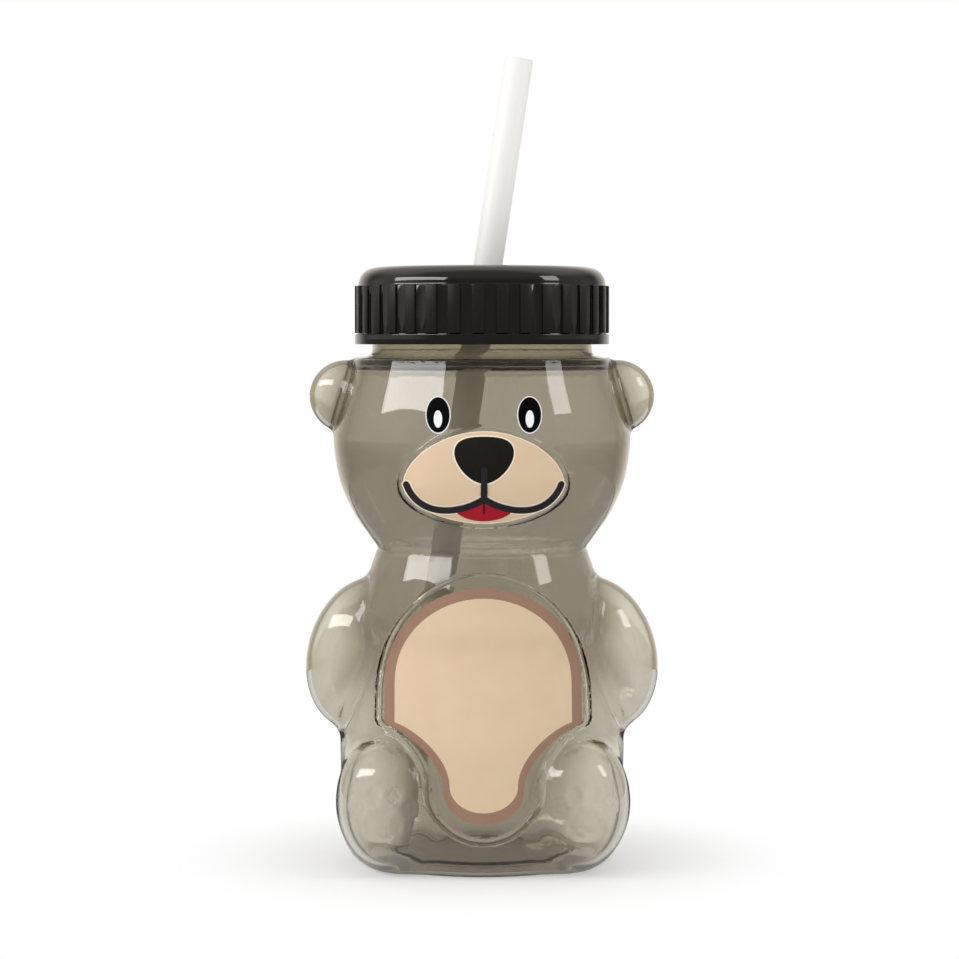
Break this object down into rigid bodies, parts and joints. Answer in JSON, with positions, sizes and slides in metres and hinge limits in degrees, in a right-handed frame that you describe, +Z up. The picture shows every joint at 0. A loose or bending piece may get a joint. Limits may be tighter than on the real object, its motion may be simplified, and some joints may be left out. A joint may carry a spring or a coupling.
{
  "type": "bear-shaped drinking bottle",
  "caption": "Hollow sitting-bear drinking bottle of clear smoke plastic with a printed face and belly patch, a ribbed screw cap, a sealing ring and a straight straw.",
  "frame": {"origin": "middle of the flat base, on the neck's axis, on the surface the bottle stands on", "axes": "+Z up along the neck's axis, -Y towards the bear's front, +X towards the bear's left"},
  "size_m": [0.0882, 0.0775, 0.2002],
  "materials": {
    "smoke_pet": "clear smoke-tinted PET, blow-moulded and glossy",
    "black_polypropylene": "black polypropylene, glossy top with satin ribs",
    "silicone": "matt translucent silicone",
    "white_polypropylene": "white extruded polypropylene, satin",
    "tan_ink": "opaque tan screen ink",
    "brown_ink": "opaque brown screen ink",
    "black_ink": "opaque black screen ink",
    "red_ink": "opaque red screen ink",
    "white_ink": "opaque white screen ink"
  },
  "bodies": {
    "bottle": {"bottle_shell": "smoke_pet", "belly_border": "brown_ink", "belly_patch": "tan_ink", "muzzle_patch": "tan_ink", "nose": "black_ink", "mouth": "black_ink", "tongue": "red_ink", "eye_left": "black_ink", "eye_right": "black_ink", "eye_glint_left": "white_ink", "eye_glint_right": "white_ink"},
    "seal": {"cap_seal": "silicone"},
    "cap": {"screw_cap": "black_polypropylene"},
    "straw": {"straw": "white_polypropylene"}
  },
  "joints": [
    {"name": "cap_lift", "type": "slide", "parent": "bottle", "child": "seal", "axis": [0, 0, 1], "range_m": [0, 0.16]},
    {"name": "cap_turn", "type": "hinge", "parent": "seal", "child": "cap", "pos_m": [0, 0, 0.1387], "axis": [0, 0, 1], "range_deg": [0, 450]},
    {"name": "straw_slide", "type": "slide", "parent": "seal", "child": "straw", "axis": [0.149, 0, 0.9888], "range_m": [0, 0.14]}
  ]
}
